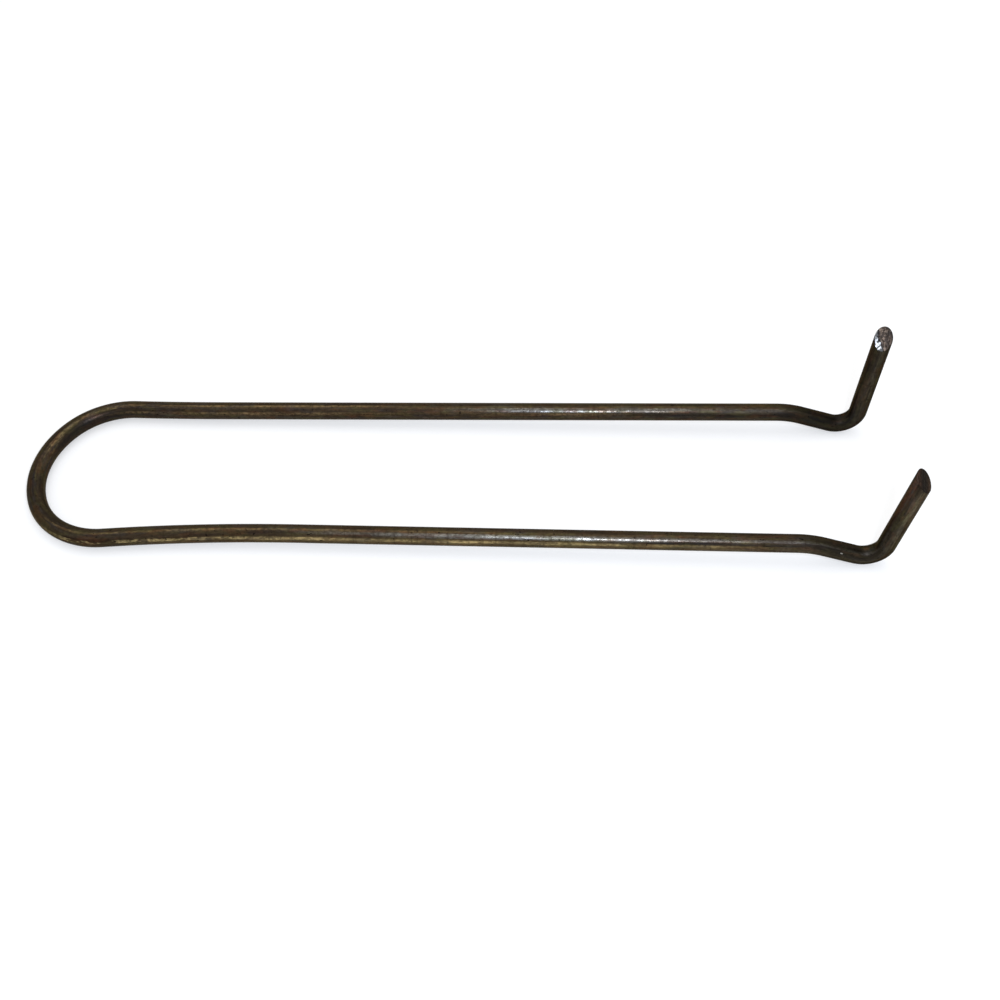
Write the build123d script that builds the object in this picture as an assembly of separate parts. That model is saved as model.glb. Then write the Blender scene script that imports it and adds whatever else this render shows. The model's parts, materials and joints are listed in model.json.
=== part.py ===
"""Pipe hook: one length of round steel wire, bent to a U with a driving prong at each end.

The pipe hangs in the crown, the round end of the U. The two legs lie along a joist, and the prongs are
hammered into its side. Before each prong the leg drops, away from the way that the prong points, so
that the shoulder stands proud of the leg and takes the hammer.

The hook lies as it comes to rest on a bench: on its crown and both shoulders, with the prongs up. The
origin is the centre of the crown, on the axis of the pipe. +X runs along the hook to the prongs, +Z is
up, and left is +Y. Lengths are millimetres and angles are degrees.
"""

from build123d import *
import math
import os
from dataclasses import dataclass

# Stock
WIRE_DIA = 3.43  # No. 10 gauge

# Crown, for a 26.7 mm pipe. Its middle is rounder than the pipe needs and its corners are tighter
CROWN_SEAT = 14.2  # from the pipe's axis to the inside of the middle
MIDDLE_INSIDE_RADIUS = 15.6
CORNER_INSIDE_RADIUS = 12.5
LEFT_MIDDLE_TURN = 37.5
RIGHT_MIDDLE_TURN = 29.0

# How far the pipe's axis hangs from the prongs
REACH = 142.2

# Each side of the crown is bent past square, and a long bend at the neck brings the leg back into line
LEFT_OVERBEND = 1.2
RIGHT_OVERBEND = 5.4
LEFT_NECK_RADIUS = 600.0
RIGHT_NECK_RADIUS = 346.0
LEFT_SPLAY = 0.47
RIGHT_SPLAY = 0.52

# Shoulders. The drop and the drop bend are measured on the wire's centreline
SHOULDER_DROP = 3.15
DROP_ANGLE = 19.3
DROP_BEND_RADIUS = 14.8
SHOULDER_INSIDE_RADIUS = 2.0

# Prongs, from the end of the shoulder bend to the tip. One with no lean is square to the legs
LEFT_PRONG_LENGTH = 21.1
RIGHT_PRONG_LENGTH = 20.0
LEFT_PRONG_LEAN = 0.9
RIGHT_PRONG_LEAN = 5.7

# Points. Each end is sheared at a slant. A cut with no turn looks to the right, and turns to the tips
POINT_ANGLE = 46.0  # between the cut and the wire
LEFT_POINT_TURN = -10.0
RIGHT_POINT_TURN = 54.0
POINT_EDGE_RADIUS = 0.1


@dataclass
class Side:
    """What differs between the halves of the hook. Way is +1 on the left and -1 on the right."""

    way: int
    middle_turn: float
    overbend: float
    neck_radius: float
    splay: float
    prong_length: float
    prong_lean: float
    point_turn: float


LEFT = Side(
    1,
    LEFT_MIDDLE_TURN,
    LEFT_OVERBEND,
    LEFT_NECK_RADIUS,
    LEFT_SPLAY,
    LEFT_PRONG_LENGTH,
    LEFT_PRONG_LEAN,
    LEFT_POINT_TURN,
)
RIGHT = Side(
    -1,
    RIGHT_MIDDLE_TURN,
    RIGHT_OVERBEND,
    RIGHT_NECK_RADIUS,
    RIGHT_SPLAY,
    RIGHT_PRONG_LENGTH,
    RIGHT_PRONG_LEAN,
    RIGHT_POINT_TURN,
)

wire_radius = WIRE_DIA / 2
crown_back = CROWN_SEAT + wire_radius
middle_radius = MIDDLE_INSIDE_RADIUS + wire_radius
corner_radius = CORNER_INSIDE_RADIUS + wire_radius
shoulder_radius = SHOULDER_INSIDE_RADIUS + wire_radius


def sine(angle):
    return math.sin(math.radians(angle))


def cosine(angle):
    return math.cos(math.radians(angle))


def heading(turn, climb=0.0):
    """The direction turned from +X towards +Y, and then raised by climb."""
    return Vector(cosine(climb) * cosine(turn), cosine(climb) * sine(turn), sine(climb))


class Bender:
    """Feeds and bends a wire, and keeps its centreline and the place and heading of its end."""

    def __init__(self, place, way):
        self.place = place
        self.way = way
        self.edges = []

    def feed(self, length):
        """Straight wire."""
        end = self.place + self.way * length
        self.edges.append(Line(self.place, end))
        self.place = end

    def bend(self, radius, way):
        """An arc of that radius, until the wire heads the new way."""
        angle = self.way.get_angle(way)
        inward = (way - self.way * self.way.dot(way)).normalized()
        end = self.place + (self.way * sine(angle) + inward * (1 - cosine(angle))) * radius
        self.edges.append(TangentArc(self.place, end, tangent=self.way))
        self.place = end
        self.way = way


def slope_length():
    """The straight wire between the drop bend and the shoulder bend."""
    in_bends = (DROP_BEND_RADIUS + shoulder_radius) * (1 - cosine(DROP_ANGLE))
    return (SHOULDER_DROP - in_bends) / sine(DROP_ANGLE)


def shoulder_length(side):
    """How far the drop and the shoulder reach along the leg, to the start of the prong."""
    in_bends = (DROP_BEND_RADIUS + shoulder_radius) * sine(DROP_ANGLE)
    return in_bends + slope_length() * cosine(DROP_ANGLE) + shoulder_radius * cosine(side.prong_lean)


def half_wire(side):
    """One half of the wire, from the middle of the crown out to the tip, with its leg level."""
    half = Bender(Vector(-crown_back, 0, 0), heading(side.way * 90))
    half.bend(middle_radius, heading(side.way * (90 - side.middle_turn)))
    half.bend(corner_radius, heading(-side.way * side.overbend))
    half.bend(side.neck_radius, heading(side.way * side.splay))
    half.feed((REACH - half.place.X) / cosine(side.splay) - shoulder_length(side))
    half.bend(DROP_BEND_RADIUS, heading(side.way * side.splay, -DROP_ANGLE))
    half.feed(slope_length())
    half.bend(shoulder_radius, heading(0, 90 - side.prong_lean))
    half.feed(side.prong_length)
    return half


def beyond_shear(half, side):
    """All that lies outside the slanted cut at the tip."""
    looks = heading(side.point_turn - 90)
    across = (looks - half.way * half.way.dot(looks)).normalized()
    outward = across * cosine(POINT_ANGLE) + half.way * sine(POINT_ANGLE)
    sharp = half.place - across * wire_radius
    cut = Plane(origin=sharp, z_dir=outward, x_dir=half.way.cross(across))
    size = 3 * WIRE_DIA / sine(POINT_ANGLE)
    return cut * Box(size, size, size, align=(Align.CENTER, Align.CENTER, Align.MIN))


def sheared_wire():
    """The whole wire, bent and sheared, with its legs level and its tips' edges eased."""
    halves = [half_wire(LEFT), half_wire(RIGHT)]
    path = Wire(halves[0].edges + halves[1].edges)
    section = Plane(origin=path @ 0, z_dir=path % 0) * Circle(wire_radius)
    wire = sweep(section, path=path)
    for half, side in zip(halves, [LEFT, RIGHT]):
        wire -= beyond_shear(half, side)
    return fillet(wire.edges().filter_by(GeomType.ELLIPSE), POINT_EDGE_RADIUS)


def rest_tilt():
    """The slope of the legs when the crown and both shoulders touch the bench."""
    lean = (LEFT_PRONG_LEAN + RIGHT_PRONG_LEAN) / 2
    along = crown_back + REACH - shoulder_radius * cosine(lean)
    above = shoulder_radius - SHOULDER_DROP
    to_centre = math.degrees(math.atan2(above, along))
    return math.degrees(math.asin(shoulder_radius / math.hypot(above, along))) - to_centre


wire_hook = Rot(Y=-rest_tilt()) * sheared_wire()

os.makedirs("parts", exist_ok=True)
export_step(wire_hook, "parts/wire_hook.step")
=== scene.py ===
"""Pipe hook: one oiled, drawn steel wire with sheared points, lying on a pale bench under studio light.

The wire is fed and bent again ring by ring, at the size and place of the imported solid, so that its
drawing marks run round every bend. Each point of the skin keeps its place on the straight wire, before
bending, in the attribute "blank", and all the finishes are patterns on that.

Lengths are metres unless a name or a comment says millimetres, and angles are degrees.
"""

import json
import math
from dataclasses import dataclass

import bmesh
import bpy
from mathutils import Euler, Matrix, Vector


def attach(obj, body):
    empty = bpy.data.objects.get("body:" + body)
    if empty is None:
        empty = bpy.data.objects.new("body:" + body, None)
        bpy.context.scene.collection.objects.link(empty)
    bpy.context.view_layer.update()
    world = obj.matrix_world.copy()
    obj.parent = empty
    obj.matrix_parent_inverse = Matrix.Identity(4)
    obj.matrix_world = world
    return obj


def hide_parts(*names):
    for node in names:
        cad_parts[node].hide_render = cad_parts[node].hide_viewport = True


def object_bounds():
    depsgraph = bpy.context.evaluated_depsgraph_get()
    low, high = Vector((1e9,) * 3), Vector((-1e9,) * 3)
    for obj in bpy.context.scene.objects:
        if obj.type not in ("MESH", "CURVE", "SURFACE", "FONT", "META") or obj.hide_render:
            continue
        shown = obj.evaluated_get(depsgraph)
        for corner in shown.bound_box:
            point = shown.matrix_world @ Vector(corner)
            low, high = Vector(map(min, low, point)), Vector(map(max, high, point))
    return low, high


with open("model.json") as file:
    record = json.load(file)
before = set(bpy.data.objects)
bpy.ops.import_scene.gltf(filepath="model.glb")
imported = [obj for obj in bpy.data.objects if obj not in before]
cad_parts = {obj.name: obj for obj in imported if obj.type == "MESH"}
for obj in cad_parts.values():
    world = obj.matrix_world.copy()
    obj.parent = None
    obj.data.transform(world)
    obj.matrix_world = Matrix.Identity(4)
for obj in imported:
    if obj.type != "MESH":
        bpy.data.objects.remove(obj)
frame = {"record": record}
cad_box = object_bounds()

MM = 0.001
mounts = {mount["name"]: mount for mount in frame["record"]["mounts"]}


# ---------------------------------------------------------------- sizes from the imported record


def lean_of(axis):
    """How far an axis leans from +Z towards +X."""
    return math.degrees(math.atan2(axis[0], axis[2]))


def prong_base(mount):
    """Where a prong starts, at the end of its shoulder bend."""
    half_length = mount["dims"]["length_mm"] * MM / 2
    return Vector(mount["pos_m"]) - Vector(mount["axis"]) * half_length


WIRE_RADIUS = mounts["left_prong"]["dims"]["r_mm"] * MM
REST_TILT = -lean_of(mounts["pipe_seat"]["axis"])
LEVEL_TO_REST = Matrix.Rotation(-math.radians(REST_TILT), 4, "Y")
REACH = (LEVEL_TO_REST.inverted() @ prong_base(mounts["left_prong"])).x

# ---------------------------------------------------------------- the bends, as in the solid

# Radii are to the middle of the wire
CROWN_BACK = 14.2 * MM + WIRE_RADIUS  # how far behind the pipe's axis the crown's middle is
MIDDLE_RADIUS = 15.6 * MM + WIRE_RADIUS
CORNER_RADIUS = 12.5 * MM + WIRE_RADIUS
SHOULDER_RADIUS = 2.0 * MM + WIRE_RADIUS
DROP_BEND_RADIUS = 14.8 * MM
DROP_ANGLE = 19.3
SHOULDER_DROP = 3.15 * MM
POINT_ANGLE = 46.0  # between the cut and the wire


@dataclass
class Side:
    """What differs between the halves of the hook. Way is +1 on the left and -1 on the right.

    The crown turns by middle_turn on its wider middle arc, then on its tighter corner to overbend past
    the leg's own line, and the neck brings the leg back until it splays outwards. Point_turn is where
    the sheared face looks, turned from the right-hand side away from the crown.
    """

    way: int
    middle_turn: float
    overbend: float
    neck_radius: float
    splay: float
    prong_length: float
    prong_lean: float
    point_turn: float


LEFT = Side(
    way=1,
    middle_turn=37.5,
    overbend=1.2,
    neck_radius=600 * MM,
    splay=0.47,
    prong_length=21.1 * MM,
    prong_lean=lean_of(mounts["left_prong"]["axis"]) + REST_TILT,
    point_turn=-10.0,
)
RIGHT = Side(
    way=-1,
    middle_turn=29.0,
    overbend=5.4,
    neck_radius=346 * MM,
    splay=0.52,
    prong_length=20.0 * MM,
    prong_lean=lean_of(mounts["right_prong"]["axis"]) + REST_TILT,
    point_turn=54.0,
)

SKIN_RADIUS = WIRE_RADIUS - 0.01 * MM  # a hair inside the solid, so that the skin stays in its box

# How finely the skin is divided
SEGMENTS = 72
RING_SPACING = 0.42 * MM
BEND_SPACING = 0.28 * MM
POINT_EDGE_WIDTH = 0.22 * MM
POINT_EDGE_SEGMENTS = 4
FACE_RINGS = 22
ON_THE_CUT = 1e-9  # a corner this near the cut lies on it

# Material numbers of the sheared faces. The skin's own is 0
LEFT_FACE = 1
RIGHT_FACE = 2


def sine(angle):
    return math.sin(math.radians(angle))


def cosine(angle):
    return math.cos(math.radians(angle))


def heading(turn, climb=0.0):
    """The direction turned from +X towards +Y, and then raised by climb."""
    return Vector((cosine(climb) * cosine(turn), cosine(climb) * sine(turn), sine(climb)))


def parts_of(geometry, kind):
    return [part for part in geometry if isinstance(part, kind)]


# ---------------------------------------------------------------- the wire


class Bender:
    """Feeds and bends a wire from one ring of its skin, and keeps the place and heading of its end."""

    def __init__(self, skin, ring, place, way, side):
        self.skin = skin
        self.ring = ring
        self.place = place
        self.way = way
        self.side = side
        self.blank = skin.verts.layers.float_vector["blank"]
        self.fed = 0.0

    def mark(self, corner, length):
        """Writes how far along the blank a point of the skin is, past what was fed before."""
        corner[self.blank].z = self.side.way * (self.fed + length) / MM

    def push(self, length):
        """One straight step. Returns the new edges that run along the wire."""
        grown = bmesh.ops.extrude_edge_only(self.skin, edges=self.ring)["geom"]
        corners = parts_of(grown, bmesh.types.BMVert)
        bmesh.ops.translate(self.skin, verts=corners, vec=self.way * length)
        for corner in corners:
            self.mark(corner, length)
        self.place = self.place + self.way * length
        self.fed += length
        self.ring = parts_of(grown, bmesh.types.BMEdge)
        across = set(self.ring)
        return [edge for corner in corners for edge in corner.link_edges if edge not in across]

    def feed(self, length):
        """Straight wire."""
        lengthwise = self.push(length)
        bmesh.ops.subdivide_edges(self.skin, edges=lengthwise, cuts=math.ceil(length / RING_SPACING) - 1)

    def bend(self, radius, way):
        """An arc of that radius, until the wire heads the new way."""
        angle = self.way.angle(way)
        inward = (way - self.way * self.way.dot(way)).normalized()
        centre = self.place + inward * radius
        known = len(self.skin.verts)
        turned = bmesh.ops.spin(
            self.skin,
            geom=self.ring,
            cent=centre,
            axis=self.way.cross(inward),
            angle=angle,
            steps=math.ceil(angle * radius / BEND_SPACING),
        )
        self.skin.verts.ensure_lookup_table()
        for corner in self.skin.verts[known:]:
            arm = corner.co - centre
            self.mark(corner, math.atan2(arm.dot(self.way), -arm.dot(inward)) * radius)
        self.place = centre + (self.way * math.sin(angle) - inward * math.cos(angle)) * radius
        self.fed += angle * radius
        self.way = way
        self.ring = parts_of(turned["geom_last"], bmesh.types.BMEdge)

    def shear(self, outward, sharp, material):
        """Cuts the end at a slant through the point sharp, eases the cut's edge and divides its face."""
        before = set(self.skin.faces)
        self.push((sharp - self.place).length + WIRE_RADIUS)
        band = [face for face in self.skin.faces if face not in before]
        # Dicts keep the order that things come in, which a set doesn't
        edges = dict.fromkeys(edge for face in band for edge in face.edges)
        corners = dict.fromkeys(corner for face in band for corner in face.verts)
        cut = bmesh.ops.bisect_plane(
            self.skin,
            geom=[*corners, *edges, *band],
            dist=ON_THE_CUT,
            plane_co=sharp,
            plane_no=outward,
            clear_outer=True,
        )["geom_cut"]
        rim = parts_of(cut, bmesh.types.BMEdge)
        across = set(rim)
        lengthwise = [
            edge
            for corner in parts_of(cut, bmesh.types.BMVert)
            for edge in corner.link_edges
            if edge not in across
        ]
        longest = max(edge.calc_length() for edge in lengthwise)
        bmesh.ops.subdivide_edges(self.skin, edges=lengthwise, cuts=math.ceil(longest / RING_SPACING))
        bmesh.ops.edgeloop_fill(self.skin, edges=rim, mat_nr=material)
        bmesh.ops.bevel(
            self.skin,
            geom=rim,
            offset=POINT_EDGE_WIDTH,
            offset_type="WIDTH",
            affect="EDGES",
            segments=POINT_EDGE_SEGMENTS,
            profile=0.5,
            material=-1,
        )
        # The face inside the eased edge has the most corners of all
        face = max(self.skin.faces, key=lambda each: len(each.verts))
        centre = face.calc_center_median()
        middle = sum((corner[self.blank] for corner in face.verts), Vector()) / len(face.verts)
        for rings_left in range(FACE_RINGS, 1, -1):
            share = (rings_left - 1) / rings_left
            grown = bmesh.ops.extrude_face_region(self.skin, geom=[face])["geom"]
            bmesh.ops.delete(self.skin, geom=[face], context="FACES_ONLY")
            inner = parts_of(grown, bmesh.types.BMVert)
            bmesh.ops.scale(
                self.skin, verts=inner, vec=Vector((1, 1, 1)) * share, space=Matrix.Translation(-centre)
            )
            for corner in inner:
                corner[self.blank] = middle.lerp(corner[self.blank], share)
            face = parts_of(grown, bmesh.types.BMFace)[0]
        heart = bmesh.ops.poke(self.skin, faces=[face])["verts"][0]
        heart[self.blank] = middle


def slope_length():
    """The straight wire between the drop bend and the shoulder bend."""
    in_bends = (DROP_BEND_RADIUS + SHOULDER_RADIUS) * (1 - cosine(DROP_ANGLE))
    return (SHOULDER_DROP - in_bends) / sine(DROP_ANGLE)


def shoulder_length(side):
    """How far the drop and the shoulder reach along the leg, to the start of the prong."""
    in_bends = (DROP_BEND_RADIUS + SHOULDER_RADIUS) * sine(DROP_ANGLE)
    return in_bends + slope_length() * cosine(DROP_ANGLE) + SHOULDER_RADIUS * cosine(side.prong_lean)


def bend_half(skin, ring, side, material):
    """One half of the wire, from the middle of the crown out to the sheared point, with its leg level."""
    half = Bender(skin, ring, Vector((-CROWN_BACK, 0, 0)), heading(side.way * 90), side)
    half.bend(MIDDLE_RADIUS, heading(side.way * (90 - side.middle_turn)))
    half.bend(CORNER_RADIUS, heading(-side.way * side.overbend))
    half.bend(side.neck_radius, heading(side.way * side.splay))
    half.feed((REACH - half.place.x) / cosine(side.splay) - shoulder_length(side))
    half.bend(DROP_BEND_RADIUS, heading(side.way * side.splay, -DROP_ANGLE))
    half.feed(slope_length())
    half.bend(SHOULDER_RADIUS, heading(0, 90 - side.prong_lean))
    cut_height = 2 * WIRE_RADIUS / math.tan(math.radians(POINT_ANGLE))
    half.feed(side.prong_length - cut_height - RING_SPACING)
    looks = heading(side.point_turn - 90)
    across = (looks - half.way * half.way.dot(looks)).normalized()
    tip = half.place + half.way * (cut_height + RING_SPACING)
    outward = across * cosine(POINT_ANGLE) + half.way * sine(POINT_ANGLE)
    half.shear(outward, tip - across * WIRE_RADIUS, material)


def bent_wire():
    """The skin of the whole wire, lying at rest."""
    skin = bmesh.new()
    blank = skin.verts.layers.float_vector.new("blank")
    corners = bmesh.ops.create_circle(skin, segments=SEGMENTS, radius=SKIN_RADIUS)["verts"]
    for corner in corners:
        corner[blank] = corner.co / MM
    # The ring stands at the middle of the crown: its blank x looks into the crown and its blank y up
    stand = Matrix(((1, 0, 0), (0, 0, 1), (0, 1, 0))).to_4x4()
    bmesh.ops.transform(skin, matrix=Matrix.Translation((-CROWN_BACK, 0, 0)) @ stand, verts=corners)
    ring = list(skin.edges)
    bend_half(skin, ring, LEFT, LEFT_FACE)
    bend_half(skin, ring, RIGHT, RIGHT_FACE)
    bmesh.ops.transform(skin, matrix=LEVEL_TO_REST, verts=skin.verts)
    bmesh.ops.recalc_face_normals(skin, faces=skin.faces)
    return skin


def wire_piece():
    skin = bent_wire()
    for face in skin.faces:
        face.smooth = True
    mesh = bpy.data.meshes.new("pipe_hook_wire")
    skin.to_mesh(mesh)
    skin.free()
    piece = bpy.data.objects.new("pipe_hook_wire", mesh)
    bpy.context.scene.collection.objects.link(piece)
    return piece


# ---------------------------------------------------------------- how a finish is drawn


def colour(sheet):
    """An sRGB hex colour as linear red, green, blue and alpha."""
    shares = [int(sheet[at : at + 2], 16) / 255 for at in (1, 3, 5)]
    linear = [share / 12.92 if share <= 0.04045 else ((share + 0.055) / 1.055) ** 2.4 for share in shares]
    return (*linear, 1.0)


def add_node(tree, kind, inputs=None, **settings):
    """Adds a node, sets its properties, and links or sets its inputs."""
    made = tree.nodes.new(kind)
    for name, value in settings.items():
        setattr(made, name, value)
    for name, value in (inputs or {}).items():
        if isinstance(value, bpy.types.NodeSocket):
            tree.links.new(value, made.inputs[name])
        else:
            made.inputs[name].default_value = value
    return made


def new_material(name):
    material = bpy.data.materials.new(name)
    material.use_nodes = True
    material.node_tree.nodes.clear()
    return material


# Noise of this scale has marks about one unit wide
MARK_SCALE = 0.5
MARK_DETAIL = 2.0
MARK_ROUGHNESS = 0.6
# The share of a strip's spread that has the strip's full strength
STRIP_CORE = 0.35
# Half the length of wire at the crown's middle over which turn changes hands, in millimetres
CHANGEOVER = 12
# The colour sockets of a Mix node
UNDER, OVER = 6, 7
MIXED = 2


class Blank:
    """Draws a finish on the straight wire. Lengths are millimetres and turns are degrees.

    Along is the length from the middle of the crown, more than 0 on the left half and less on the
    right. Turn runs round the wire from the side that faces right, up over the top, to the side that
    faces left. It is the same way in the world on both legs, and changes over inside the crown. On a
    prong, the top of the leg has become the side towards the crown.
    """

    def __init__(self, tree):
        self.tree = tree
        self.where = add_node(tree, "ShaderNodeAttribute", attribute_name="blank").outputs["Vector"]
        parts = add_node(tree, "ShaderNodeSeparateXYZ", {"Vector": self.where})
        self.along = parts.outputs["Z"]
        self.up = parts.outputs["Y"]
        half = self.ramp(self.along, ((-CHANGEOVER, 0.0), (CHANGEOVER, 1.0)))
        side = add_node(tree, "ShaderNodeMapRange", {"Value": half, "To Min": -1.0})
        right = add_node(
            tree, "ShaderNodeMath", {0: parts.outputs["X"], 1: side.outputs["Result"]}, operation="MULTIPLY"
        )
        turn = add_node(tree, "ShaderNodeMath", {0: self.up, 1: right.outputs[0]}, operation="ARCTAN2")
        self.turn = add_node(tree, "ShaderNodeMath", {0: turn.outputs[0]}, operation="DEGREES").outputs[0]

    def ramp(self, value, stops):
        """A strength or a colour that runs evenly from stop to stop of a value."""
        first, last = stops[0][0], stops[-1][0]
        share = add_node(
            self.tree, "ShaderNodeMapRange", {"Value": value, "From Min": first, "From Max": last}
        )
        made = add_node(self.tree, "ShaderNodeValToRGB", {"Fac": share.outputs["Result"]})
        # A new ramp has two elements. The rest are added halfway, and all are then put in their places
        for _ in stops[2:]:
            made.color_ramp.elements.new(0.5)
        for element, (place, shade) in zip(made.color_ramp.elements, stops):
            element.position = (place - first) / (last - first)
            element.color = colour(shade) if isinstance(shade, str) else (shade, shade, shade, 1.0)
        return made.outputs["Color"]

    def pattern(self, across, along, low, high, seed=0.0):
        """Marks of a mean width and length, from 0 where the noise is low to 1 where it is high."""
        spread = add_node(
            self.tree,
            "ShaderNodeVectorMath",
            {0: self.where, 1: (1 / across, 1 / across, 1 / along), 2: (seed, 2 * seed, -seed)},
            operation="MULTIPLY_ADD",
        )
        noise = add_node(
            self.tree,
            "ShaderNodeTexNoise",
            {
                "Vector": spread.outputs[0],
                "Scale": MARK_SCALE,
                "Detail": MARK_DETAIL,
                "Roughness": MARK_ROUGHNESS,
            },
        )
        return add_node(
            self.tree,
            "ShaderNodeMapRange",
            {"Value": noise.outputs["Fac"], "From Min": low, "From Max": high},
            interpolation_type="SMOOTHSTEP",
        ).outputs["Result"]

    def band(self, turn, spread, places):
        """A strip along the wire at a turn, that fades out at spread to each side."""
        core = STRIP_CORE * spread
        across = self.ramp(
            self.turn,
            ((turn - spread, 0.0), (turn - core, 1.0), (turn + core, 1.0), (turn + spread, 0.0)),
        )
        strength = self.ramp(self.along, places)
        return add_node(
            self.tree, "ShaderNodeMath", {0: across, 1: strength}, operation="MULTIPLY"
        ).outputs[0]

    def over(self, under, shade, *masks):
        """Lays one colour over another where all the masks are high."""
        cover = masks[0]
        for mask in masks[1:]:
            cover = add_node(
                self.tree, "ShaderNodeMath", {0: cover, 1: mask}, operation="MULTIPLY"
            ).outputs[0]
        both = add_node(
            self.tree,
            "ShaderNodeMix",
            {"Factor": cover, UNDER: under, OVER: colour(shade)},
            data_type="RGBA",
        )
        return both.outputs[MIXED]


@dataclass
class Strip:
    """A strip of colour along the wire, at a turn, fading out at spread to each side.

    Places says how strong it is at each length along the wire, and marks are a pattern that breaks it.
    """

    shade: str
    turn: float
    spread: float
    places: tuple
    marks: object = None


def brushed_on(blank, shade, strips):
    """Lays strips over a shade, one after another."""
    for strip in strips:
        masks = [blank.band(strip.turn, strip.spread, strip.places)]
        if strip.marks is not None:
            masks.append(strip.marks)
        shade = blank.over(shade, strip.shade, *masks)
    return shade


# ---------------------------------------------------------------- the drawn skin


class Marks:
    """The patterns in the drawn skin, each with a mean width and length in millimetres.

    They are about as wide as real ones, apart from the drawing lines. Those are really 0.05 mm wide,
    and are drawn at 0.3 mm so that they show.
    """

    def __init__(self, blank):
        self.lines = blank.pattern(across=0.3, along=7.0, low=0.32, high=0.68)
        self.rubs = blank.pattern(across=0.25, along=3.5, low=0.28, high=0.66, seed=3.0)
        self.specks = blank.pattern(across=0.2, along=0.4, low=0.36, high=0.64, seed=5.0)
        self.clouds = blank.pattern(across=1.2, along=5.0, low=0.38, high=0.64, seed=7.0)
        self.olive = blank.pattern(across=0.6, along=2.5, low=0.46, high=0.66, seed=9.0)
        self.rust = blank.pattern(across=0.5, along=2.0, low=0.50, high=0.68, seed=13.0)
        self.rings = blank.pattern(across=5.0, along=0.3, low=0.56, high=0.68, seed=15.0)
        self.pits = blank.pattern(across=0.25, along=0.4, low=0.66, high=0.71, seed=11.0)
        self.blotches = blank.pattern(across=0.4, along=0.9, low=0.44, high=0.56, seed=17.0)
        self.blueing = blank.pattern(across=0.5, along=2.5, low=0.50, high=0.66, seed=19.0)
        # Rubs where the specks of old skin have mostly gone
        clear = blank.ramp(self.specks, ((0.0, 1.0), (1.0, 0.25)))
        self.rubbed = add_node(
            blank.tree, "ShaderNodeMath", {0: self.rubs, 1: clear}, operation="MULTIPLY"
        ).outputs[0]
        # The same rubs, lifted to 0.3 between them, which break up the painted reflections and highlights
        self.sheen_breaks = blank.ramp(self.rubbed, ((0.0, 0.3), (1.0, 1.0)))


def oiled_skin_painted_shade_and_reflection(blank):
    """The oiled skin's brown round the wire, darkest underneath and lightest on the upper right as painted
    shade and reflection.
    """
    return blank.ramp(
        blank.turn,
        (
            (-120, "#2A2218"),
            (-60, "#302820"),
            (-12, "#322B26"),
            (1, "#332B25"),
            (11, "#352B22"),
            (24, "#3C3124"),
            (37, "#3B3125"),
            (45, "#352B24"),
            (59, "#352B23"),
            (67, "#382E24"),
            (74, "#352B1F"),
            (90, "#332A1E"),
            (103, "#372C21"),
            (160, "#2C2218"),
        ),
    )


def long_strips_and_painted_reflections(blank, shade):
    """Long strips of darker and lighter tone under everything else, some of them painted reflections."""
    return brushed_on(
        blank,
        shade,
        (
            # Blue-black low on the left, towards the prong
            Strip(
                "#292726",
                turn=22,
                spread=36,
                places=((116, 0.0), (127, 0.9), (150, 1.0), (190, 0.6)),
            ),
            # A painted dark reflection: a dark line between the painted bright lines on the left
            Strip(
                "#261E18",
                turn=52,
                spread=13,
                places=((12, 0.0), (24, 0.7), (50, 0.5), (80, 0.0)),
            ),
            # A thin, worn skin low on the right, partly a painted reflection of the bench
            Strip(
                "#5A4C34",
                turn=11,
                spread=36,
                places=(
                    (-172, 0.0), (-158, 0.1), (-147, 0.2), (-136, 0.8), (-126, 1.0),
                    (-55, 1.0), (-34, 0.8), (-20, 0.4), (-6, 0.0), (9, 0.0),
                ),
            ),
            # Darker above it, towards the prong
            Strip(
                "#242426",
                turn=37,
                spread=11,
                places=((-172, 0.5), (-150, 0.8), (-122, 0.8), (-112, 0.0), (9, 0.0)),
            ),
        ),
    )


def darker_bends(blank, shade):
    """Darker brown round the crown, and darker shoulders and prongs."""
    crown = blank.ramp(blank.along, ((-34, 0.0), (-20, 0.8), (-4, 1.0), (8, 0.7), (24, 0.0)))
    shade = blank.over(shade, "#2A241E", crown)
    shoulders = blank.ramp(
        blank.along,
        (
            (-190, 0.75), (-176, 0.6), (-168, 0.95), (-158, 0.85), (-150, 0.0),
            (149, 0.0), (157, 0.95), (168, 1.0), (190, 0.9),
        ),
    )
    return blank.over(shade, "#231E1A", shoulders)


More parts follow.
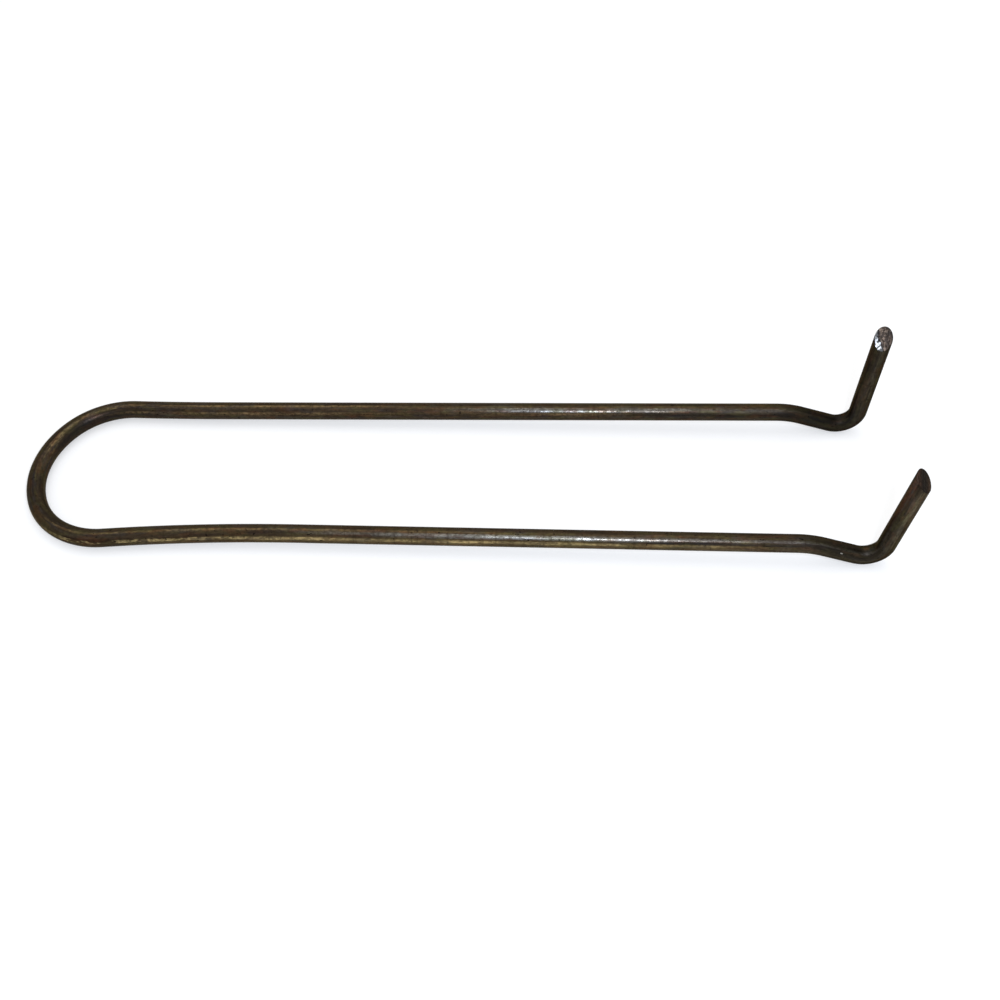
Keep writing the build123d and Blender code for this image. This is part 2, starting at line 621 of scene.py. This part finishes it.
def painted_reflections_and_highlights(blank, marks, shade):
    """Brassy lines that are painted reflections, one partly thin skin, and a painted highlight of nearly
    bare grey steel.
    """
    return brushed_on(
        blank,
        shade,
        (
            # Painted reflection of the overhead light: brass along the top of both legs, and wider where it
            # runs round the left of the crown
            Strip(
                "#86704C",
                turn=81,
                spread=9,
                places=(
                    (-105, 0.0), (-66, 0.5), (-32, 0.8), (-20, 0.7), (-12, 0.0),
                    (20, 0.0), (26, 0.8), (66, 0.6), (80, 0.0),
                ),
                marks=marks.sheen_breaks,
            ),
            # The same painted reflection, round the left of the crown
            Strip(
                "#8E7A58",
                turn=73,
                spread=17,
                places=((-2, 0.0), (5, 0.45), (15, 0.5), (24, 0.2), (28, 0.0)),
                marks=marks.rubbed,
            ),
            Strip(
                "#8A7656",
                turn=68,
                spread=9,
                places=((17, 0.0), (22, 0.4), (30, 0.4), (38, 0.0)),
                marks=marks.rubbed,
            ),
            # Painted reflection of the bench: brass low on the left
            Strip(
                "#907858",
                turn=28,
                spread=13,
                places=(
                    (14, 0.0), (24, 0.7), (62, 0.7), (78, 0.1),
                    (94, 0.2), (104, 0.7), (117, 0.7), (124, 0.0),
                ),
                marks=marks.sheen_breaks,
            ),
            # The gold core low on the right: partly worn skin, partly a painted reflection of the bench
            Strip(
                "#E0C88E",
                turn=21,
                spread=14,
                places=(
                    (-150, 0.0), (-138, 0.2), (-130, 0.5), (-120, 0.4), (-110, 0.6), (-99, 0.35),
                    (-85, 0.6), (-72, 0.6), (-60, 0.9), (-42, 1.0), (-24, 0.8), (-14, 0.5), (-4, 0.0),
                ),
                marks=marks.sheen_breaks,
            ),
            # Painted highlight where the small lamp's line falls: nearly bare steel on the right and upper
            # side
            Strip(
                "#9C9A92",
                turn=61,
                spread=12,
                places=(
                    (-156, 0.2), (-142, 0.4), (-118, 0.5), (-110, 0.9),
                    (-90, 1.0), (-79, 0.8), (-68, 0.3), (-56, 0.0),
                    (84, 0.0), (100, 0.7), (130, 0.8), (138, 0.4), (152, 0.3), (160, 0.0),
                ),
                marks=marks.sheen_breaks,
            ),
            # More of the painted highlight, a little lower round the wire
            Strip(
                "#828482",
                turn=47,
                spread=9,
                places=(
                    (-130, 0.0), (-118, 0.8), (-92, 0.6), (-70, 0.0),
                    (92, 0.0), (113, 0.8), (131, 0.0),
                ),
                marks=marks.sheen_breaks,
            ),
        ),
    )


def greased_prongs(blank, marks, shade):
    """Rust-brown on the prongs towards the crown, olive grease on their outsides, and rubs between."""
    return brushed_on(
        blank,
        shade,
        (
            Strip(
                "#452B22",
                turn=76,
                spread=24,
                places=((-190, 0.9), (-172, 0.8), (-166, 0.0), (166, 0.0), (172, 0.6), (190, 0.6)),
                marks=marks.clouds,
            ),
            Strip(
                "#4A4A32",
                turn=-34,
                spread=22,
                places=((-190, 0.9), (-170, 0.9), (-164, 0.0), (164, 0.0), (172, 0.9), (190, 0.9)),
                marks=marks.olive,
            ),
            Strip(
                "#6C6452",
                turn=3,
                spread=38,
                places=((-190, 0.7), (-178, 0.9), (-170, 0.7), (-162, 0.3), (-156, 0.0)),
                marks=marks.rubs,
            ),
            Strip(
                "#625C4C",
                turn=4,
                spread=36,
                places=((164, 0.0), (170, 0.8), (190, 0.7)),
                marks=marks.rubs,
            ),
            # Thin grease on the outside of the right shoulder and prong
            Strip(
                "#6E6450",
                turn=-6,
                spread=24,
                places=((-164, 0.0), (-156, 0.8), (-140, 0.5), (-132, 0.0)),
                marks=marks.rubs,
            ),
            Strip(
                "#7A6E5A",
                turn=-50,
                spread=34,
                places=((-190, 0.6), (-182, 0.8), (-172, 0.9), (-164, 0.6), (-158, 0.0)),
                marks=marks.rubs,
            ),
            # Red-brown flecks below the right point
            Strip(
                "#785444",
                turn=66,
                spread=30,
                places=((-190, 0.9), (-184, 0.7), (-179, 0.0)),
                marks=marks.specks,
            ),
            Strip(
                "#544C40",
                turn=30,
                spread=60,
                places=((-190, 0.7), (-150, 0.7), (-144, 0.0), (150, 0.0), (156, 0.4), (190, 0.4)),
                marks=marks.rust,
            ),
        ),
    )


def nicked_shoulders(blank, marks, shade):
    """Rust in the shoulders' inner corners, black specks, and one bright dent with a dark ring."""
    return brushed_on(
        blank,
        shade,
        (
            Strip(
                "#6A4426",
                turn=100,
                spread=16,
                places=((-166.2, 0.0), (-165.6, 0.8), (-164.6, 0.8), (-164.0, 0.0)),
            ),
            Strip(
                "#6A4426",
                turn=102,
                spread=14,
                places=((165.8, 0.0), (166.3, 0.8), (167.0, 0.8), (167.6, 0.0)),
            ),
            Strip(
                "#0C0B0A",
                turn=40,
                spread=20,
                places=((-149.5, 0.0), (-148.5, 1.0), (-145.5, 1.0), (-144.5, 0.0)),
                marks=marks.blotches,
            ),
            Strip(
                "#0C0B0A",
                turn=34,
                spread=9,
                places=((-160.0, 0.0), (-159.8, 1.0), (-159.1, 1.0), (-158.9, 0.0)),
            ),
            Strip(
                "#F0ECE4",
                turn=34,
                spread=5,
                places=((-159.75, 0.0), (-159.6, 1.0), (-159.3, 1.0), (-159.15, 0.0)),
            ),
        ),
    )


def stained(blank, marks, shade):
    """Brown blotches on the gold, stains, drawing lines, specks and faint rings, and pits over it all."""
    gold = blank.band(
        turn=20,
        spread=30,
        places=((-60, 0.0), (-44, 0.7), (-24, 0.95), (-12, 0.8), (-4, 0.0), (9, 0.0)),
    )
    shade = blank.over(shade, "#26170E", marks.blotches, gold)
    for stain, pattern, strength in (
        ("#221C1A", marks.clouds, 0.40),
        ("#444226", marks.olive, 0.40),
        ("#4E3020", marks.rust, 0.38),
        ("#30333A", marks.blueing, 0.30),
        ("#7A6A4C", marks.lines, 0.12),
        ("#18130F", marks.specks, 0.34),
        ("#2A2016", marks.rings, 0.30),
    ):
        shade = blank.over(shade, stain, pattern, strength)
    # Darker shoulders and prongs, and a blue-black strip round the left of the crown
    dark_ends = blank.ramp(
        blank.along,
        (
            (-182, 0.0), (-168, 0.4), (-158, 0.5), (-151, 0.0),
            (150, 0.0), (157, 0.6), (168, 0.6), (176, 0.3), (190, 0.3),
        ),
    )
    shade = blank.over(shade, "#171716", dark_ends)
    blue = blank.band(
        turn=24, spread=36, places=((2, 0.0), (8, 0.55), (19, 0.65), (26, 0.3), (32, 0.0))
    )
    shade = blank.over(shade, "#16171A", blue)
    return blank.over(shade, "#100D0B", marks.pits, 0.9)


OILED_ROUGHNESS = 0.32
RUBBED_ROUGHNESS = 0.25
DULLEST = 0.16  # what burnt oil and grease add to the roughness at most
# What the steel gives back where the eye looks along it
CLEAN_EDGE = "#CECAC4"
DULL_EDGE = "#BCB8B2"
LINE_DEPTH = 0.004 * MM


def oiled_drawn_steel():
    """Dark bronze wire. The eye finds fine lines drawn along it, brassy lines that are painted reflections,
    one of them partly thin skin, a painted highlight of nearly bare grey steel along the legs, painted
    shade and reflection round the wire, darker brown bends and prongs, olive and rust-red stains,
    faint rings where the rolls straightened it, and pits.
    """
    material = new_material("oiled_drawn_steel")
    tree = material.node_tree
    blank = Blank(tree)
    marks = Marks(blank)
    shade = oiled_skin_painted_shade_and_reflection(blank)
    shade = long_strips_and_painted_reflections(blank, shade)
    shade = darker_bends(blank, shade)
    shade = painted_reflections_and_highlights(blank, marks, shade)
    shade = greased_prongs(blank, marks, shade)
    shade = nicked_shoulders(blank, marks, shade)
    shade = stained(blank, marks, shade)
    # Burnt oil and grease dull the crown, the shoulders and the prongs
    dull = blank.ramp(
        blank.along,
        (
            (-168, DULLEST), (-152, 0.12), (-140, 0.0), (-34, 0.0), (-16, 0.08),
            (14, 0.08), (28, 0.0), (140, 0.0), (154, 0.14), (168, DULLEST),
        ),
    )
    edge = blank.over(colour(CLEAN_EDGE), DULL_EDGE, blank.ramp(dull, ((0.0, 0.0), (DULLEST, 1.0))))
    rough = add_node(
        tree,
        "ShaderNodeMapRange",
        {"Value": marks.rubbed, "To Min": OILED_ROUGHNESS, "To Max": RUBBED_ROUGHNESS},
    )
    rough = add_node(tree, "ShaderNodeMath", {0: rough.outputs["Result"], 1: dull}, operation="ADD")
    height = add_node(tree, "ShaderNodeMath", {0: marks.lines, 1: marks.specks}, operation="SUBTRACT")
    height = add_node(tree, "ShaderNodeMath", {0: height.outputs[0], 1: marks.pits}, operation="SUBTRACT")
    relief = add_node(
        tree, "ShaderNodeBump", {"Height": height.outputs[0], "Distance": LINE_DEPTH, "Strength": 1.0}
    )
    metal = add_node(
        tree,
        "ShaderNodeBsdfPrincipled",
        {
            "Base Color": shade,
            "Metallic": 1.0,
            "Roughness": rough.outputs[0],
            "Specular Tint": edge,
            "Normal": relief.outputs["Normal"],
        },
    )
    add_node(tree, "ShaderNodeOutputMaterial", {"Surface": metal.outputs["BSDF"]})
    return material


# ---------------------------------------------------------------- the sheared points

TORN_SHADE = "#1E1B19"
TORN_ROUGHNESS = 0.40
TORN_DEPTH = 0.04 * MM
WAVER = 0.4  # how far the edge of a zone wanders, in millimetres


def sheared_point(name, low_end, slant, zones, grain_depth, edge):
    """Steel where the shear went through: smooth and bright where the blade cut, grainy where it tore.

    The zones lie across the face, by millimetres from its middle towards the crown, and grain_depth is
    the strength of the torn grain across them. They shift by slant for each millimetre along the wire
    past the face's low end, which is given in millimetres too. Edge is what the steel gives back where
    the eye looks along it.
    """
    material = new_material(name)
    tree = material.node_tree
    blank = Blank(tree)
    grain = blank.pattern(across=0.3, along=0.36, low=0.42, high=0.52, seed=33.0)
    uneven = blank.pattern(across=0.4, along=0.4, low=0.30, high=0.70, seed=23.0)
    height = add_node(tree, "ShaderNodeMath", {0: blank.along, 1: low_end}, operation="SUBTRACT")
    place = add_node(
        tree, "ShaderNodeMath", {0: height.outputs[0], 1: -slant, 2: blank.up}, operation="MULTIPLY_ADD"
    )
    place = add_node(
        tree, "ShaderNodeMath", {0: uneven, 1: WAVER, 2: place.outputs[0]}, operation="MULTIPLY_ADD"
    ).outputs[0]
    shade = blank.ramp(place, zones)
    shade = blank.over(shade, TORN_SHADE, grain, blank.ramp(place, grain_depth))
    relief = add_node(
        tree, "ShaderNodeBump", {"Height": uneven, "Distance": TORN_DEPTH, "Strength": 1.0}
    )
    metal = add_node(
        tree,
        "ShaderNodeBsdfPrincipled",
        {
            "Base Color": shade,
            "Metallic": 1.0,
            "Roughness": TORN_ROUGHNESS,
            "Specular Tint": colour(edge),
            "Normal": relief.outputs["Normal"],
        },
    )
    add_node(tree, "ShaderNodeOutputMaterial", {"Surface": metal.outputs["BSDF"]})
    return material


def left_sheared_point():
    """Bright burnish on the side towards the crown, a dark ridge, and torn grey-brown steel beyond it."""
    return sheared_point(
        "left_sheared_point",
        low_end=187.0,
        slant=0.45,
        zones=(
            (-2.6, "#3A322C"),
            (-1.2, "#53473D"),
            (-0.5, "#5A4E44"),
            (-0.3, "#2A2624"),
            (-0.12, "#1C1A1C"),
            (0.0, "#ACACAA"),
            (0.66, "#D8D8D6"),
            (0.8, "#7A7678"),
            (0.92, "#262220"),
            (1.8, "#1C1918"),
        ),
        grain_depth=((-0.5, 0.75), (0.0, 0.9)),
        edge="#E8E4E0",
    )


def right_sheared_point():
    """Torn, oiled steel, with painted shade darkest across its middle, and browner towards both its sides.
    """
    return sheared_point(
        "right_sheared_point",
        low_end=-187.0,
        slant=0.0,
        zones=(
            (-1.5, "#52443A"),
            (-0.9, "#3E3129"),
            (-0.3, "#24211F"),
            (0.6, "#242222"),
            (1.2, "#3A2C25"),
            (2.2, "#4A3830"),
        ),
        grain_depth=((-1.5, 0.5), (1.5, 0.6)),
        edge="#D2CCC6",
    )


# ---------------------------------------------------------------- studio

HOOK_MIDDLE_X = 0.07
BENCH_HALF_WIDTH = 3.0
BENCH_GLOW = 0.45  # what the bench adds to its own shade where it is seen
AIR_LIGHT = 0.8  # the air's strength as light, and then as it is seen
SEEN_WHITE = 1.0


def seen_itself(tree):
    """1 where the eye sees a thing or its reflection in metal, and 0 where it only gives light."""
    rays = add_node(tree, "ShaderNodeLightPath")
    return add_node(
        tree,
        "ShaderNodeMath",
        {0: rays.outputs["Is Camera Ray"], 1: rays.outputs["Is Glossy Ray"]},
        operation="MAXIMUM",
    ).outputs[0]


def studio():
    """Soft white light from all round, which looks pure white itself."""
    world = bpy.data.worlds.new("studio_air")
    bpy.context.scene.world = world
    world.use_nodes = True
    tree = world.node_tree
    tree.nodes.clear()
    level = add_node(
        tree,
        "ShaderNodeMapRange",
        {"Value": seen_itself(tree), "To Min": AIR_LIGHT, "To Max": SEEN_WHITE},
    )
    air = add_node(
        tree, "ShaderNodeBackground", {"Color": colour("#FFFFFF"), "Strength": level.outputs["Result"]}
    )
    add_node(tree, "ShaderNodeOutputWorld", {"Surface": air.outputs["Background"]})


def bench():
    """A wide pale bench under the hook, near white, that keeps the hook's shadow."""
    board = bmesh.new()
    bmesh.ops.create_grid(board, x_segments=1, y_segments=1, size=BENCH_HALF_WIDTH)
    bmesh.ops.translate(board, verts=board.verts, vec=(HOOK_MIDDLE_X, 0, cad_box[0].z))
    mesh = bpy.data.meshes.new("pale_bench")
    board.to_mesh(mesh)
    board.free()
    piece = bpy.data.objects.new("pale_bench", mesh)
    bpy.context.scene.collection.objects.link(piece)
    material = new_material("pale_bench_paper")
    tree = material.node_tree
    paper = add_node(tree, "ShaderNodeBsdfDiffuse", {"Color": colour("#C8C8C8")})
    level = add_node(
        tree, "ShaderNodeMath", {0: seen_itself(tree), 1: BENCH_GLOW}, operation="MULTIPLY"
    )
    glow = add_node(tree, "ShaderNodeEmission", {"Strength": level.outputs[0]})
    both = add_node(tree, "ShaderNodeAddShader", {0: paper.outputs[0], 1: glow.outputs[0]})
    add_node(tree, "ShaderNodeOutputMaterial", {"Surface": both.outputs[0]})
    mesh.materials.append(material)


def lamp(name, place, aim, size, watts, tint):
    light = bpy.data.lights.new(name, "AREA")
    light.shape = "RECTANGLE"
    light.size, light.size_y = size
    light.energy = watts
    light.color = colour(tint)[:3]
    holder = bpy.data.objects.new(name, light)
    holder.location = place
    holder.rotation_euler = (Vector(aim) - Vector(place)).to_track_quat("-Z", "Y").to_euler()
    bpy.context.scene.collection.objects.link(holder)


CAMERA_AZIMUTH = 1.62
CAMERA_ELEVATION = 52.03
CAMERA_ROLL = 0.09
CAMERA_DISTANCE = 218.6 * MM
CAMERA_AIM = Vector((72.56, -3.07, 0)) * MM
CAMERA_LENS_MM = 41.4
CAMERA_NEAREST = 0.01


def camera():
    """Looks down on the hook from its right, with the crown on the left of the view."""
    seen = bpy.data.cameras.new("camera")
    seen.lens = CAMERA_LENS_MM
    seen.clip_start = CAMERA_NEAREST
    holder = bpy.data.objects.new("camera", seen)
    back = heading(CAMERA_AZIMUTH - 90, CAMERA_ELEVATION)
    aim = Vector((CAMERA_AIM.x, CAMERA_AIM.y, cad_box[0].z))
    holder.location = aim + back * CAMERA_DISTANCE
    turn = (-back).to_track_quat("-Z", "Y") @ Euler((0, 0, math.radians(CAMERA_ROLL))).to_quaternion()
    holder.rotation_euler = turn.to_euler()
    bpy.context.scene.collection.objects.link(holder)
    bpy.context.scene.camera = holder


wire = wire_piece()
wire.data.materials.append(oiled_drawn_steel())
wire.data.materials.append(left_sheared_point())
wire.data.materials.append(right_sheared_point())
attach(wire, "root")
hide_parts("wire_hook")

studio()
bench()
camera()
lamp(
    "overhead",
    place=(0.05, 0.15, 0.6),
    aim=(HOOK_MIDDLE_X, 0, 0),
    size=(0.5, 0.5),
    watts=0.8,
    tint="#FFFFFF",
)
# A small cool lamp, which draws the bright line along the legs
lamp(
    "by_camera",
    place=(0.108, -0.150, 0.195),
    aim=(0.09, 0, 0),
    size=(0.03, 0.03),
    watts=0.25,
    tint="#DCE9FF",
)
bpy.context.scene.view_settings.view_transform = "Standard"
